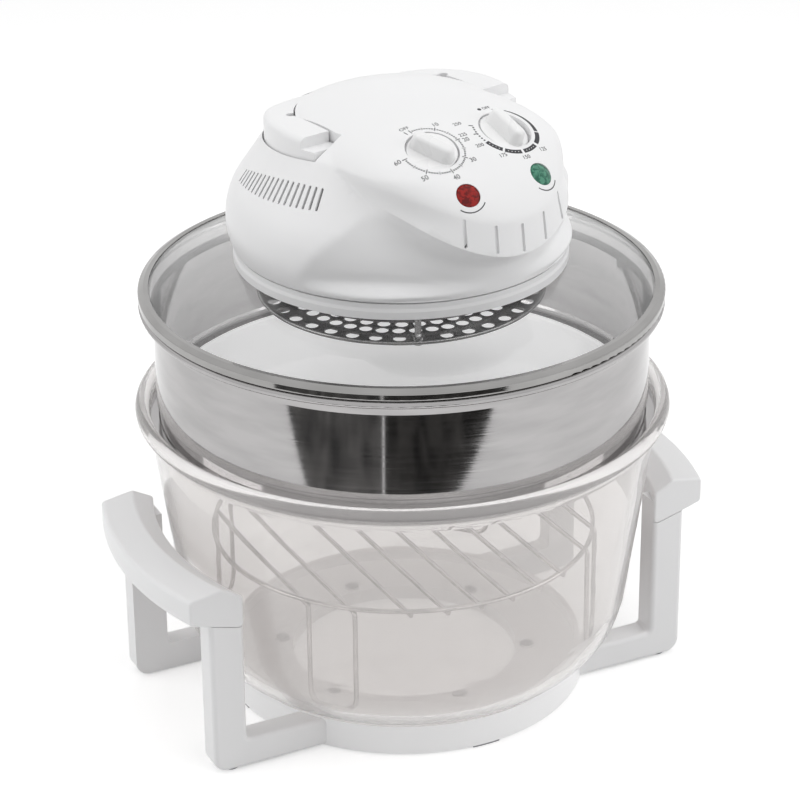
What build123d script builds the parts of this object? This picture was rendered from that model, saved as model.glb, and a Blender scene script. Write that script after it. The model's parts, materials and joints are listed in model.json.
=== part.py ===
from build123d import *
import math
import os

# Halogen oven: a glass bowl in a white base, a steel extension ring, and a glass lid
# that carries the heater and fan head. Millimetres, +Z up. The origin lies on the
# surface the oven stands on, under the bowl's centre. -Y is the front of the base
# and the two side handles are at -X and +X. The lid and its head are built facing
# -Y and then turned by HEAD_YAW, because the round lid sits turned on the ring.

HEAD_YAW = 11.0                # degrees the lid sits turned on the ring
RUNNING = 0.06                 # radial clearance of shafts in their bearings

# ---------------------------------------------------------------- base
FOOT_GAP = 1.2                 # underside of the base above the surface
BASE_RING_R = 114.5
BASE_RING_WALL = 3.0
BASE_RING_TOP = 20.4
SHELF_Z = (9.0, 12.0)          # shelf inside the ring that carries the bowl
SHELF_R_IN = 72.0
BAR_Y = (56.5, 72.0)           # inner and outer faces of the legs, from the X axis
BAR_TOP = 20.0
POST_X = (141.0, 163.0)
POST_X_MID, POST_Y_MID = sum(POST_X) / 2, sum(BAR_Y) / 2
GRIP_ARC_X = 35.0              # centre of the grip's plan arc, beyond the bowl's axis
GRIP_R = (189.5, 222.0)
GRIP_RIDGE_R = 202.0
GRIP_HALF_LENGTH = 72.0
PAD_R_AT = 79.0                # where the bowl pads sit on the shelf

# ---------------------------------------------------------------- bowl
BOWL_WALL = 5.0
BOWL_BOTTOM = 13.4
BOWL_FLAT_R = 85.0
BOWL_CORNER = 57.0
BOWL_LEAN = 7.5                # degrees from upright
BOWL_WALL_TOP = 178.0
BOWL_LIP_R, BOWL_LIP_Z = 165.0, 189.3
BOWL_TOP = 194.6
LEDGE_Z = 184.2                # ledge inside the lip that carries the ring
LEDGE_R = 156.5

# ---------------------------------------------------------------- wire rack
RACK_YAW = 1.5
RACK_R, RACK_Z = 119.6, 105.7
WIRE_R = 1.5
WIRE_DROP = 2.5                # grid wires pass this far under the ring
GRID_WIRES, GRID_PITCH = 6, 20.8
LEG_WIRES_X = (80.0, 99.5)     # the two wires that bend down into each leg
LEG_R, LEG_FOOT_Z = 120.9, 34.7  # where the legs stand on the bowl's round corner

# ---------------------------------------------------------------- ring and tray
SHEET = 0.8
RING_R = 151.1                 # middle of the wall's sheet
NECK_R, NECK_TOP = 149.6, 196.5
RING_HEM_R = 155.4
RING_BEAD = 2.4                # radius of the rolled top edge
RING_TOP = 261.8
TRAY_R, TRAY_Z = 146.0, 188.4

# ---------------------------------------------------------------- lid
GLASS = 4.0
DOME_R, DOME_Z = 424.8, -127.3  # sphere of the lid's outer face
LID_R, LID_HOLE_R = 157.0, 90.0
BAND_R = 160.0
BAND_Z = (262.1, 268.6)
SKIRT_R, SKIRT_Z = 101.4, (286.4, 295.8)
FLOOR_Z = (290.5, 293.0)       # floor of the lower housing

# ---------------------------------------------------------------- head shell
CAP_R, CAP_TOP = 140.0, 391.5  # sphere of the dome
SHELL_BOTTOM, SHELL_TOP = 297.0, 391.0
SHELL_BOTTOM_R = 101.4
SHELL_WALL = 2.4
BODY_R, SHOULDER_R, BODY_Z = 105.2, 42.7, 314.0  # widest radius, the arc above it and its height
SEAT_R, SEAT_Z, SEAT_SLOPE = 97.8, 338.0, 0.68   # the straight part above that arc
NOSE_ANGLE, NOSE_SPREAD = 47.0, 33.0  # half angle over which the nose stands out, more at the top
BROW_Z, BROW_RISE, BROW_ANGLE = 323.5, 29.0, 50.0  # the brow's sharp edge climbs to the sides
PANEL_R, PANEL_Z = 119.3, 325.0  # ellipse of the control panel straight ahead
FACE_R, FACE_Z, FACE_SLOPE = 114.3, 344.0, 0.13  # upright face between the brow and the panel
FOLD = 0.4                     # softness of the fold between the two
UNDERCUT_Z = 310.0             # the brow's underside sweeps down to this height
CHIN_R = 101.5
HOLLOW_DEPTH, HOLLOW_FROM, HOLLOW_EDGE = 9.0, 40.0, 73.0  # hollows on both sides of the chin
HOLLOW_Z, HOLLOW_LEAN = 300.0, 22.0
SECTION_LEVELS = (297, 298.5, 300.2, 302, 304, 306.5, 309, 312, 315, 317.5, 319.5, 321, 322.2, 323, 323.5,
                  324, 325, 327, 330, 334, 338, 341, 343, 344, 345, 347, 350, 354, 358, 362, 366, 368.5,
                  370.2, 372, 375, 379, 382.5, 385.5, 388, 389.8, 391)
SHELL_SCREW_R_AT = 84.0
SHELL_SCREW_ANGLES = (40, 140, 220, 320)
GLAND_R, GLAND_Z = 6.0, 310.0

# ---------------------------------------------------------------- controls
KNOB_X = {-1: 27.9, 1: 24.7}   # the left dish sits a little further out
KNOB_Y, KNOB_Z = -66.9, 376.9
KNOB_LEAN, KNOB_SPLAY = 24.0, 8.0  # degrees forward and outward
KNOB_R, DISH_R, DISH_DEPTH = 14.8, 16.0, 2.0
KNOB_DISC = (-1.5, 0.5)        # heights of the knob's disc along its axis
GRIP_TOP, GRIP_FOOT_WIDTH, GRIP_TOP_WIDTH = 9.4, 11.4, 7.0
KNOB_REST = {-1: 118.0, 1: 96.0}   # direction the grip points to at rest
SPINDLE_R = 3.0
LENS_X, LENS_Y, LENS_Z = 26.4, -97.6, 359.0
LENS_LEAN, LENS_SPLAY = 43.0, 9.0
LENS_R = 7.2
GROOVES = ((0.0, 324.6, 341.6), (17.5, 326.8, 343.8), (35.7, 332.8, 349.4))
GROOVE_WIDTH, GROOVE_DEPTH = 2.2, 1.5
SPINDLE_HOLE_R = 3.8
UNIT_FACE = 4.8                # how far below the panel the control units start

# ---------------------------------------------------------------- bail handle
PLATEAU_R, PLATEAU_HALF_X = 63.0, 57.0  # part of the dome that the bail goes round
BAIL_R, BAIL_CENTRE_Y = 78.0, 5.0
BAIL_REAR_R, BAIL_REAR_Y = 140.0, 72.0  # the flatter rear of the bail
BAIL_TOP = ((-40.0, 379.0), (-7.0, 379.0), (20.0, 378.7), (36.0, 377.5), (50.0, 375.6), (62.0, 373.2),
            (72.0, 370.6), (90.0, 365.0))  # its top from front to rear
BAIL_CORNER_R, BAIL_ROUNDING = 30.0, 4.0
BAIL_GAP = 1.0
PIVOT_Y, PIVOT_Z = -7.0, 368.5
BAIL_END_R = 10.5              # rounded front ends, about the pivot
CORNER_HOLE = (56.5, 31.0)     # small openings at the inner corners
PIN_R = 3.0
PLUNGER_X, PLUNGER_Y = -69.0, 14.0
PLUNGER_R = 2.5
PLUNGER_TOP = 363.4

# ---------------------------------------------------------------- vents
VENT_SLOTS, VENT_FIRST, VENT_LAST = 18, 68.5, 117.0  # degrees from the front
VENT_FOOT_Z, VENT_HEAD_Z = 345.0, 356.5  # ends of the first slot, the others come lower
VENT_WIDTH = 1.7
VENT_LEAN = 34.0               # slope of the shoulder there, from upright

# ---------------------------------------------------------------- inside the head
GUARD_Z = 261.6                # underside of the guard plate
GUARD_SHEET = 0.7
SHAFT_R = 2.5
SHAFT_Z = (265.0, 343.0)
LAMP_R, LAMP_TUBE_R, LAMP_Z = 50.0, 5.0, 270.5
LAMP_OPEN = 26.0               # degrees left open between the lamp's ends
GUARD_STEP_R, GUARD_RIM_R = 74.5, 87.6
GUARD_ROWS = ((66.0, 42), (57.0, 34), (48.0, 30), (39.0, 24), (30.0, 18), (21.0, 12), (12.0, 7))
GUARD_HOLE_R = 3.9
STRUT_R_AT = 81.0
STRUT_ANGLES = (-109.4 - HEAD_YAW, 10.6 - HEAD_YAW, 130.6 - HEAD_YAW)


# ================================================================ helpers
def revolved(*outline):
    """Solid of revolution about Z from a closed outline of (radius, height) points."""
    return revolve(make_face(Plane.XZ * Polyline(*outline, close=True)), Axis.Z)


def revolved_edges(edges):
    """Solid of revolution about Z from edges that close an outline in (radius, height)."""
    return revolve(make_face(Plane.XZ * edges), Axis.Z)


def disc(radius, low, high, hole=0.0, at=(0.0, 0.0)):
    """Upright disc or ring between two heights."""
    body = Pos(at[0], at[1], low) * Cylinder(radius, high - low, align=(Align.CENTER, Align.CENTER, Align.MIN))
    if hole:
        bore = Pos(at[0], at[1], low - 1) * Cylinder(
            hole, high - low + 2, align=(Align.CENTER, Align.CENTER, Align.MIN))
        body = body - bore
    return body


def block(x, y, z):
    """Box between two limits along each axis."""
    size = (x[1] - x[0], y[1] - y[0], z[1] - z[0])
    centre = ((x[0] + x[1]) / 2, (y[0] + y[1]) / 2, (z[0] + z[1]) / 2)
    return Pos(*centre) * Box(*size)


def sheet_outline(line, thick):
    """Closed outline of a sheet of even thickness along an open line of points."""
    half = thick / 2
    left, right = [], []
    for i, (r, z) in enumerate(line):
        before = line[max(i - 1, 0)]
        after = line[min(i + 1, len(line) - 1)]
        steps = [(b[0] - a[0], b[1] - a[1]) for a, b in ((before, (r, z)), ((r, z), after)) if a != b]
        normals = [(-dz / math.hypot(dr, dz), dr / math.hypot(dr, dz)) for dr, dz in steps]
        nr = sum(n[0] for n in normals) / len(normals)
        nz = sum(n[1] for n in normals) / len(normals)
        stretch = half / (nr * nr + nz * nz)
        left.append((r + nr * stretch, z + nz * stretch))
        right.append((r - nr * stretch, z - nz * stretch))
    return left + right[::-1]


def torus(ring_radius, wire_radius, height):
    return revolve(Plane.XZ * Pos(ring_radius, height) * Circle(wire_radius), Axis.Z)


def joined(parts):
    """One solid from parts that overlap."""
    first, *rest = parts
    return first.fuse(*rest)


def around(count, radius, make, start=0.0):
    """Copies of a small part spaced evenly round the Z axis."""
    return [Rot(0, 0, start + i * 360.0 / count) * Pos(radius, 0, 0) * make() for i in range(count)]


def on_panel(side, x, y, z, lean, splay):
    """Place on the front panel, left (-1) or right (1): local Z is the outward normal."""
    return Pos(side * x, y, z) * Rot(lean, 0, 0) * Rot(0, side * splay, 0)


def knob_place(side):
    return on_panel(side, KNOB_X[side], KNOB_Y, KNOB_Z, KNOB_LEAN, KNOB_SPLAY)


def lens_place(side):
    return on_panel(side, LENS_X, LENS_Y, LENS_Z, LENS_LEAN, LENS_SPLAY)


def four_corners():
    """The signs of x and y, with the leg's name, at each corner of the base."""
    return ((-1, -1, "front_left_leg"), (1, -1, "front_right_leg"),
            (-1, 1, "rear_left_leg"), (1, 1, "rear_right_leg"))


# ================================================================ base
def base_ring():
    """Round cradle: a low wall that hugs the bowl's corner and a shelf under the bowl."""
    inner = BASE_RING_R - BASE_RING_WALL
    wall = revolved((inner, FOOT_GAP), (BASE_RING_R, FOOT_GAP), (BASE_RING_R, BASE_RING_TOP),
                    (inner, BASE_RING_TOP - 1.4))
    shelf = disc(inner + 0.5, SHELF_Z[0], SHELF_Z[1], hole=SHELF_R_IN)
    rib = disc(SHELF_R_IN + 2.5, FOOT_GAP + 2.0, SHELF_Z[1], hole=SHELF_R_IN)
    ring = wall + shelf + rib
    for sx, sy, _ in four_corners():
        seat = Pos(0, 0, -BASE_RING_WALL - 0.9) * Cylinder(3.6, 12, align=(Align.CENTER, Align.CENTER, Align.MAX))
        ring = ring - leg_screw_axis(sx, sy) * (Cylinder(2.1, 40) + seat)
    return ring


def leg_screw_axis(sx, sy):
    """Centre of the screw that ties a leg to the ring, with local Z pointing out along X."""
    y = sy * sum(BAR_Y) / 2
    x = sx * math.sqrt(BASE_RING_R ** 2 - y * y)
    return Pos(x, y, 5.6) * Rot(0, sx * 90, 0)


def grip_section():
    """Outline of the side handle in (radius from its arc centre, height)."""
    low, high = GRIP_R
    return FilletPolyline((low, 98.0), (high - 9, 104.6), (high, 107.5), (high, 123.8),
                          (GRIP_RIDGE_R, 127.2), (low, 119.8), radius=3.0, close=True)


def grip_bar():
    """The right grip before its ends are rounded."""
    ring = Pos(-GRIP_ARC_X, 0, 0) * revolve(make_face(Plane.XZ * grip_section()), Axis.Z)
    return ring & block((100, 200), (-GRIP_HALF_LENGTH, GRIP_HALF_LENGTH), (80, 140))


def side_handle(sx):
    """Curved grip that bridges the front and rear legs on one side."""
    bar = grip_bar()
    bar = fillet(bar.faces().filter_by(Axis.Y).edges(), 1.5)
    grip = bar if sx > 0 else mirror(bar, Plane.YZ)
    for sy in (-1, 1):
        grip = grip - Pos(sx * POST_X_MID, sy * POST_Y_MID, 90) * Cylinder(1.6, 42)
    return grip


def leg(sx, sy):
    """L-shaped leg: a bar from the ring and a post up to the handle, hollow inside."""
    ring_end = 80.0
    outline = Polyline((ring_end, FOOT_GAP), (POST_X[1], FOOT_GAP), (POST_X[1], 114.0),
                       (POST_X[0], 114.0), (POST_X[0], BAR_TOP), (ring_end, BAR_TOP), close=True)
    depth = BAR_Y[1] - BAR_Y[0]
    body = extrude(make_face(Plane.XZ * outline), depth)
    body = Pos(0, BAR_Y[1] - body.bounding_box().max.Y, 0) * body
    corner = body.edges().filter_by(Axis.Y).filter_by_position(Axis.Z, 0, 2).sort_by(Axis.X)[-1]
    body = fillet(corner, 9.0)
    inside = body.edges().filter_by(Axis.Y).filter_by_position(Axis.Z, 18, 22).sort_by(Axis.X)[-1]
    body = fillet(inside, 3.0)
    rim = [e for e in body.edges()
           if e.center().Y > BAR_Y[1] - 0.01 and e.center().Z > 3 and e.center().X > ring_end + 1
           and e.center().Z < 113]
    body = fillet(rim, 3.2)
    wall = 2.6
    body = body - block((POST_X[0] + wall, POST_X[1] - wall), (BAR_Y[0] + wall, BAR_Y[1] - wall), (8, 95))
    body = body - block((112, POST_X[0] + 6), (BAR_Y[0] + wall, BAR_Y[1] - wall), (-5, BAR_TOP - wall))
    body = body - disc(BASE_RING_R, -10, 60) - grip_bar()
    body = mirror(body, Plane.XZ) if sy < 0 else body
    body = mirror(body, Plane.YZ) if sx < 0 else body
    body = body - leg_screw_axis(sx, sy) * Pos(0, 0, 10) * Cylinder(1.6, 22)
    return body - Pos(sx * POST_X_MID, sy * POST_Y_MID, 95) * Cylinder(2.0, 30)


def screw(shank_r, length, head_r, head_height):
    """Pan-head screw along local Z, head below, with a cross recess."""
    body = Cylinder(shank_r, length, align=(Align.CENTER, Align.CENTER, Align.MIN))
    head = Cylinder(head_r, head_height, align=(Align.CENTER, Align.CENTER, Align.MAX))
    head = fillet(head.faces().sort_by(Axis.Z)[0].edges(), head_height * 0.35)
    cross = Box(head_r * 1.2, 0.9, 1.6) + Box(0.9, head_r * 1.2, 1.6)
    return body + head - Pos(0, 0, -head_height) * cross


def leg_screws():
    parts = []
    for sx, sy, _ in four_corners():
        at = leg_screw_axis(sx, sy) * Pos(0, 0, -BASE_RING_WALL - 0.9)
        parts.append(at * screw(1.5, 18, 3.2, 2.2))
    return Compound(children=parts)


def handle_screws():
    parts = [Pos(sx * POST_X_MID, sy * POST_Y_MID, 95) * screw(1.5, 14, 3.4, 2.2)
             for sx, sy, _ in four_corners()]
    return Compound(children=parts)


def rubber_feet():
    """Soft feet: one at the outer end of each leg and four under the ring."""
    parts = [disc(5.0, 0, FOOT_GAP, at=(sx * 150.0, sy * POST_Y_MID)) for sx, sy, _ in four_corners()]
    middle = BASE_RING_R - BASE_RING_WALL / 2
    for angle in (0, 90, 180, 270):
        foot = disc(middle + 1.2, 0, FOOT_GAP, hole=middle - 1.2)
        sector = Rot(0, 0, angle) * block((100, 120), (-9, 9), (-1, 2))
        parts.append(foot & sector)
    return Compound(children=parts)


def bowl_pads():
    """Silicone pads on the shelf that the bowl stands on."""
    pads = around(6, PAD_R_AT, lambda: disc(4.5, SHELF_Z[1], BOWL_BOTTOM), start=30)
    return Compound(children=pads)


# ================================================================ bowl and rack
def glass_bowl():
    """Pressed glass bowl: flat bottom, round corner, leaning wall, ledge inside the lip."""
    lean = math.radians(BOWL_LEAN)
    centre_z = BOWL_BOTTOM + BOWL_CORNER

    def corner(radius):
        """Corner arc from the flat bottom up to where the wall starts."""
        start = (BOWL_FLAT_R, centre_z - radius)
        half = math.radians(-90 + (90 - BOWL_LEAN) / 2)
        middle = (BOWL_FLAT_R + radius * math.cos(half), centre_z + radius * math.sin(half))
        end = (BOWL_FLAT_R + radius * math.cos(lean), centre_z - radius * math.sin(lean))
        return start, middle, end

    def on_wall(end, z):
        return end[0] + (z - end[1]) * math.tan(lean), z

    outer = corner(BOWL_CORNER)
    inner = corner(BOWL_CORNER - BOWL_WALL)
    wall_top = on_wall(outer[2], BOWL_WALL_TOP)
    ledge_in = on_wall(inner[2], LEDGE_Z)
    lip = Spline(wall_top, (159.4, 183.4), (BOWL_LIP_R, BOWL_LIP_Z), (161.0, BOWL_TOP), (LEDGE_R, 190.5),
                 tangents=[(math.sin(lean), math.cos(lean)), (0, -1)])
    edges = [
        Line((0, BOWL_BOTTOM), outer[0]), ThreePointArc(*outer), Line(outer[2], wall_top), lip,
        Line((LEDGE_R, 190.5), (LEDGE_R, LEDGE_Z)), Line((LEDGE_R, LEDGE_Z), ledge_in),
        Line(ledge_in, inner[2]), ThreePointArc(*inner), Line(inner[0], (0, BOWL_BOTTOM + BOWL_WALL)),
        Line((0, BOWL_BOTTOM + BOWL_WALL), (0, BOWL_BOTTOM)),
    ]
    return revolved_edges(Curve() + edges)


def wire_rack():
    """Welded rack: a ring, straight grid wires under it, and hairpin wires bent into legs."""
    z = RACK_Z - WIRE_DROP
    ring = revolve(Plane.XZ * Pos(RACK_R, RACK_Z) * RegularPolygon(WIRE_R, 16), Axis.Z)
    parts = [ring]
    for i in range(GRID_WIRES):
        x = (i - (GRID_WIRES - 1) / 2) * GRID_PITCH
        reach = math.sqrt(RACK_R ** 2 - x * x) + 0.8
        parts.append(Pos(x, 0, z) * Rot(90, 0, 0) * Cylinder(WIRE_R, 2 * reach))
    near, far = LEG_WIRES_X
    for sx in (-1, 1):
        for sy in (-1, 1):
            y_near = sy * math.sqrt(LEG_R ** 2 - near ** 2)
            y_far = sy * math.sqrt(LEG_R ** 2 - far ** 2)
            path = FilletPolyline(
                (sx * near, 0, z), (sx * near, y_near, z), (sx * near, y_near, LEG_FOOT_Z),
                (sx * far, y_far, LEG_FOOT_Z), (sx * far, y_far, z), (sx * far, 0, z),
                radius=[2.4, 9.0, 9.0, 2.4])
            profile = Plane(origin=path @ 0, z_dir=path % 0) * Circle(WIRE_R)
            parts.append(sweep(profile, path=path))
    return Rot(0, 0, RACK_YAW) * joined(parts)


# ================================================================ extension ring and tray
def extension_ring():
    """Steel ring: hem on the bowl's ledge, necked foot, straight wall, rolled top bead."""
    bead_at = BAND_R - RING_BEAD
    line = [(RING_HEM_R, LEDGE_Z + SHEET / 2), (NECK_R + 0.8, LEDGE_Z + SHEET / 2 + 0.1),
            (NECK_R, LEDGE_Z + 1.6), (NECK_R, NECK_TOP - 1.2), (RING_R, NECK_TOP),
            (RING_R, 250.0), (RING_R + 1.2, 255.0), (bead_at - 0.6, RING_TOP - RING_BEAD)]
    wall = revolved(*sheet_outline(line, SHEET))
    bead = torus(bead_at, RING_BEAD, RING_TOP - RING_BEAD)
    step = revolved((NECK_R - 9.5, TRAY_Z - SHEET), (NECK_R, TRAY_Z - SHEET), (NECK_R, TRAY_Z),
                    (NECK_R - 9.5, TRAY_Z))
    return wall + bead + step


def round_tray():
    """Shallow white tray that closes the lower part of the ring."""
    line = [(0.0, TRAY_Z + 0.6), (TRAY_R - 6, TRAY_Z + 0.6), (TRAY_R - 3, TRAY_Z + 1.5),
            (TRAY_R - 1.2, TRAY_Z + 2.6), (TRAY_R - 0.4, TRAY_Z + 2.6)]
    outline = sheet_outline(line, 1.2)
    outline = [(max(r, 0.0), z) for r, z in outline]
    return revolved(*outline)


# ================================================================ lid
def dome_z(r, inset=0.0):
    """Height of the lid glass at a radius, on its outer face or inset from it."""
    return DOME_Z + math.sqrt((DOME_R - inset) ** 2 - r * r)


def lid_glass():
    """Shallow dome of glass with a round hole for the head."""
    mid = (LID_R + LID_HOLE_R) / 2
    top = ThreePointArc((LID_HOLE_R, dome_z(LID_HOLE_R)), (mid, dome_z(mid)), (LID_R, dome_z(LID_R)))
    under = ThreePointArc((LID_R, dome_z(LID_R, GLASS)), (mid, dome_z(mid, GLASS)),
                          (LID_HOLE_R, dome_z(LID_HOLE_R, GLASS)))
    sides = [Line(top @ 1, under @ 0), Line(under @ 1, top @ 0)]
    return revolved_edges(Curve() + [top, under] + sides)


def lid_rim_band():
    """Steel band folded round the edge of the lid glass."""
    low, high = BAND_Z
    outline = FilletPolyline((153.5, low), (BAND_R, low), (BAND_R, high - 1.2), (BAND_R - 3.5, high + 0.6),
                             (153.5, high + 0.6), radius=[1.6, 1.6, 1.6, 0.2, 0.2], close=True)
    return revolve(make_face(Plane.XZ * outline), Axis.Z) - lid_glass()


def head_gasket():
    """Silicone grommet round the hole in the lid glass."""
    return disc(LID_HOLE_R + 5.5, 281.8, FLOOR_Z[0], hole=LID_HOLE_R - 2.0) - lid_glass()


def lower_housing():
    """Round plastic pan that closes the head from below and stands on the lid glass."""
    low, high = SKIRT_Z
    wall = 2.6
    skirt = revolved((SKIRT_R, low), (SKIRT_R, low + 4.5), (SKIRT_R - 0.6, low + 6.5),
                     (SHELL_BOTTOM_R - 0.6, high), (SHELL_BOTTOM_R - 0.6 - wall, high),
                     (SKIRT_R - 0.6 - wall, low + 5), (SKIRT_R - wall, low))
    floor = disc(SKIRT_R - wall, FLOOR_Z[0], FLOOR_Z[1], hole=12.0)
    upstand = disc(SHELL_BOTTOM_R - SHELL_WALL - 0.8, FLOOR_Z[1] - 0.5, SHELL_BOTTOM + 2.4,
                   hole=SHELL_BOTTOM_R - SHELL_WALL - 3.2)
    seat = disc(SHELL_BOTTOM_R - 0.6, FLOOR_Z[1] - 0.5, high, hole=SHELL_BOTTOM_R - SHELL_WALL - 3.2)
    pan = skirt + floor + upstand + seat
    for angle in SHELL_SCREW_ANGLES:
        rib_way = Rot(0, 0, angle) * block((84, 104), (-2.0, 2.0), (SKIRT_Z[1], 310))
        boss_way = disc(1.7, FLOOR_Z[0] - 1, FLOOR_Z[1] + 1, at=(SHELL_SCREW_R_AT, 0))
        pan = pan - rib_way - Rot(0, 0, angle) * boss_way
    for part in strut_holes(2.2, FLOOR_Z[0] - 5, FLOOR_Z[1] + 5):
        pan = pan - part
    return pan


def strut_holes(radius, low, high):
    return [disc(radius, low, high, at=strut_at(a)) for a in STRUT_ANGLES]


def strut_at(angle):
    turn = math.radians(angle)
    return STRUT_R_AT * math.cos(turn), STRUT_R_AT * math.sin(turn)


# ================================================================ head shell
def smooth(t):
    """0 to 1 with level ends."""
    t = min(max(t, 0.0), 1.0)
    return t * t * (3 - 2 * t)


def plain_radius(z):
    """Radius of the head's dome where nothing stands out of it."""
    if z <= SEAT_Z:
        return BODY_R - SHOULDER_R + math.sqrt(SHOULDER_R ** 2 - (z - BODY_Z) ** 2)
    cap = math.sqrt(max(CAP_R ** 2 - (z - CAP_TOP + CAP_R) ** 2, 0.0))
    return min(SEAT_R - (z - SEAT_Z) * SEAT_SLOPE, cap)


def nose_reach(level):
    """Radius of the nose straight ahead, from the brow's edge up to the dome's top."""
    rise = min(max(level - PANEL_Z, 0.0) / (CAP_TOP - PANEL_Z), 1.0)
    panel = PANEL_R * math.sqrt(1 - rise * rise)
    face = FACE_R + (FACE_Z - level) * FACE_SLOPE
    return (panel + face - math.hypot(panel - face, 2 * FOLD)) / 2


def with_nose(off, z, level):
    """Radius at an angle off the front and a height, the nose included."""
    spread = NOSE_ANGLE + NOSE_SPREAD * smooth((z - 345.0) / 40.0)
    weight = max(1 - (off / spread) ** 2, 0.0) ** 1.3
    plain = plain_radius(z)
    return plain + weight * (nose_reach(level) - plain)


def chin_hollow(off, z):
    """How far the chin lies inside the dome: a drum in front with a hollow on each side."""
    lean = HOLLOW_LEAN * (max(z - HOLLOW_Z, 0.0) / 45.0) ** 1.5
    edge = max(HOLLOW_EDGE - lean, BROW_ANGLE)
    taper = max(1 - (off / edge) ** 4, 0.0)
    aside = smooth(off / HOLLOW_FROM)
    front = max(plain_radius(z) - CHIN_R, 0.0) * (1 - aside)
    hollow = HOLLOW_DEPTH * aside * smooth((z - HOLLOW_Z) / 7.0)
    return taper * (front + hollow)


def shell_point(angle, level):
    """Radius and height of the head at an angle (degrees from its front) on a section level.

    Levels follow the brow, so that its edge climbs to the sides on a single level.
    """
    off = abs((angle + 180) % 360 - 180)
    brow = BROW_Z + BROW_RISE * (1 - math.cos(math.pi * min(off / BROW_ANGLE, 1.0))) / 2
    if level >= BROW_Z:
        z = SHELL_TOP - (SHELL_TOP - level) * (SHELL_TOP - brow) / (SHELL_TOP - BROW_Z)
        return with_nose(off, z, level), z
    z = SHELL_BOTTOM + (level - SHELL_BOTTOM) * (brow - SHELL_BOTTOM) / (BROW_Z - SHELL_BOTTOM)
    rise = max((level - UNDERCUT_Z) / (BROW_Z - UNDERCUT_Z), 0.0) ** 2.5
    standout = with_nose(off, brow, BROW_Z) - plain_radius(brow)
    plain = plain_radius(z)
    return plain - chin_hollow(off, z) * (1 - rise) + standout * rise, z


def section_angles():
    """Angles of a section's points, closer together round the front."""
    right = [3.0 * i for i in range(27)] + [84.0 + 6.0 * i for i in range(17)]
    return right + [360 - a for a in right[-2:0:-1]]


def shell_form(inset):
    """The head's outer form, or the same form shrunk by a wall thickness."""
    angles = section_angles()
    shares = [a / 360 for a in angles] + [1.0]
    wires = []
    for level in SECTION_LEVELS:
        points = []
        for angle in angles:
            r, z = shell_point(angle, level)
            slope = smooth((z - 335.0) / (SHELL_TOP - 335.0)) * math.pi / 2
            sink = 0.0 if level == SECTION_LEVELS[0] else inset * math.sin(slope)
            r -= inset * math.cos(slope)
            turn = math.radians(angle) - math.pi / 2
            points.append((r * math.cos(turn), r * math.sin(turn), z - sink))
        wires.append(Wire([Edge.make_spline(points, periodic=True, parameters=shares)]))
    return Solid.make_loft(wires)


def shell_blank():
    """Hollow head shell, open below, before its openings are cut."""
    outer, inner = shell_form(0.0), shell_form(SHELL_WALL)
    rims = [form.faces().sort_by(Axis.Z)[0] for form in (outer, inner)]
    annulus = Face(rims[0].outer_wire(), [rims[1].outer_wire()])
    skins = [f for form in (outer, inner) for f in form.faces().sort_by(Axis.Z)[1:]]
    return Solid(Shell(skins + [annulus]))


def bail_plan(grow, ahead):
    """Plan of the bail, grown by a clearance: a band round the plateau, open to the front."""
    outside = Pos(0, BAIL_CENTRE_Y) * Circle(BAIL_R + grow)
    outside = outside & Pos(0, BAIL_REAR_Y - BAIL_REAR_R) * Circle(BAIL_REAR_R + grow)
    plateau = Circle(PLATEAU_R - grow) & Rectangle(2 * (PLATEAU_HALF_X - grow), 200)
    front = PIVOT_Y - BAIL_END_R - grow - ahead
    band = outside - plateau
    return band & Pos(0, front + 100) * Rectangle(300, 200)


def bail_column(grow, ahead=0.0):
    """The bail's plan drawn up into a column, its two rear corners rounded."""
    low, high = 330.0, 400.0
    column = extrude(bail_plan(grow, ahead), high - low)
    corners = [e for e in column.edges().filter_by(Axis.Z) if e.center().Y > 35 and abs(e.center().X) > 40]
    return Pos(0, 0, low) * fillet(corners, BAIL_CORNER_R + grow)


def above_recess(lift):
    """Everything above the floor of the bail's recess, lifted by a clearance."""
    floor = [(0.0, 377.0), (55.0, 371.5), (64.0, 367.6), (72.0, 363.4), (80.0, 358.4), (92.0, 349.5)]
    outline = [(r, z + lift) for r, z in floor] + [(92.0, 420.0), (0.0, 420.0)]
    return revolved(*outline)


def pivot_cylinder(radius, half_x=83.0):
    return Pos(0, PIVOT_Y, PIVOT_Z) * Rot(0, 90, 0) * Cylinder(radius, 2 * half_x)


def bail_pocket(gap):
    """Space the bail lies and turns in, grown from the bail by a gap."""
    column = bail_column(gap)
    pocket = column & above_recess(BAIL_GAP - gap)
    return pocket + (column & pivot_cylinder(BAIL_END_R + gap))


def vent_slots():
    """Leaning slots through the shoulder on both sides."""
    tools = []
    for i in range(VENT_SLOTS):
        share = i / (VENT_SLOTS - 1)
        angle = VENT_FIRST + share * (VENT_LAST - VENT_FIRST)
        low = VENT_FOOT_Z - 6.0 * share
        high = VENT_HEAD_Z - 10.0 * share * share
        mid = (low + high) / 2
        length = (high - low) / math.cos(math.radians(VENT_LEAN))
        slot = extrude(SlotOverall(length, VENT_WIDTH, rotation=90), 7, both=True)
        for side in (-1, 1):
            place = Rot(0, 0, side * angle - 90) * Pos(plain_radius(mid), 0, mid)
            tools.append(place * Rot(0, 90 - VENT_LEAN, 0) * Rot(0, 0, 90) * slot)
    return tools


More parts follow.
